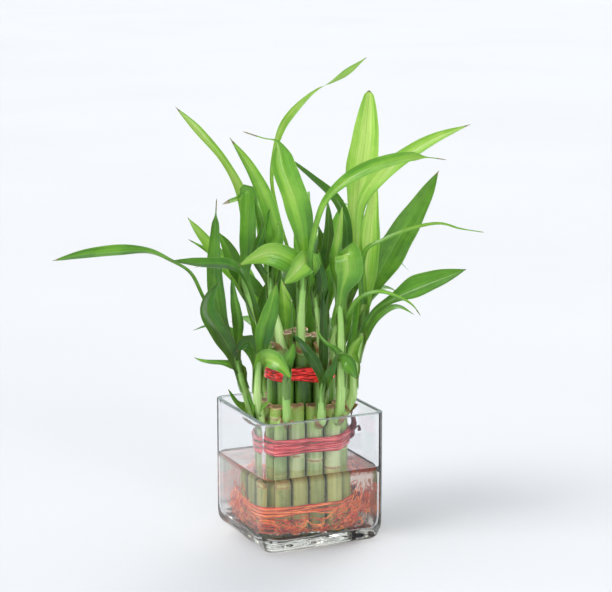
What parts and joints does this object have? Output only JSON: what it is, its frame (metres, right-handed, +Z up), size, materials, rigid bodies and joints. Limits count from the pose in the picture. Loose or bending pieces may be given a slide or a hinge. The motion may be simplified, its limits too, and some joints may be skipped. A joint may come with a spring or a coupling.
{
  "type": "potted lucky bamboo in a glass vase",
  "caption": "Lucky bamboo: bound tiers of cut green canes with long-leaved shoots, standing in water with orange roots in a square clear-glass vase.",
  "frame": {"origin": "centre of the vase's flat underside", "axes": "+Z up out of the vase's mouth, X and Y along the vase's sides, -Y out of the broad side that the picture shows at its right"},
  "size_m": [0.2838, 0.189, 0.369],
  "materials": {
    "glass": "gloss",
    "water": "gloss",
    "cane": "satin",
    "cane_dark": "satin",
    "leaf": "satin",
    "ribbon": "gloss",
    "wet_ribbon": "satin",
    "roots": "satin",
    "pale_roots": "satin"
  },
  "bodies": {
    "root": {"cane_front_1": "cane", "cane_front_2": "cane", "cane_front_3": "cane", "cane_front_4": "cane", "cane_left_front": "cane", "cane_right_front": "cane", "cane_left_back": "cane", "cane_right_back": "cane", "cane_back_1": "cane", "cane_back_2": "cane", "cane_back_3": "cane", "cane_back_4": "cane", "cane_upper_1": "cane_dark", "cane_upper_2": "cane_dark", "cane_upper_3": "cane_dark", "cane_upper_4": "cane_dark", "cane_upper_5": "cane_dark", "cane_upper_6": "cane_dark", "cane_upper_7": "cane_dark", "cane_upper_8": "cane_dark", "cane_upper_9": "cane_dark", "cane_upper_10": "cane_dark", "shoot_left_front": "leaf", "shoot_left_back": "leaf", "shoot_front_left": "leaf", "shoot_front_right": "leaf", "shoot_front_far_right": "leaf", "shoot_right_front": "leaf", "shoot_upper_left": "leaf", "shoot_upper_centre": "leaf", "shoot_upper_right": "leaf", "shoot_upper_far_left": "leaf", "shoot_upper_far_right": "leaf", "shoot_back_left": "leaf", "shoot_back_low": "leaf", "shoot_back_middle": "leaf", "shoot_back_right": "leaf", "shoot_side_right": "leaf", "shoot_high_left": "leaf", "shoot_high_middle": "leaf", "shoot_high_right": "leaf", "ribbon_lower": "ribbon", "ribbon_upper": "ribbon", "ribbon_under_water": "wet_ribbon", "roots": "roots", "root_tuft": "pale_roots", "vase": "glass", "water": "water"}
  },
  "joints": []
}
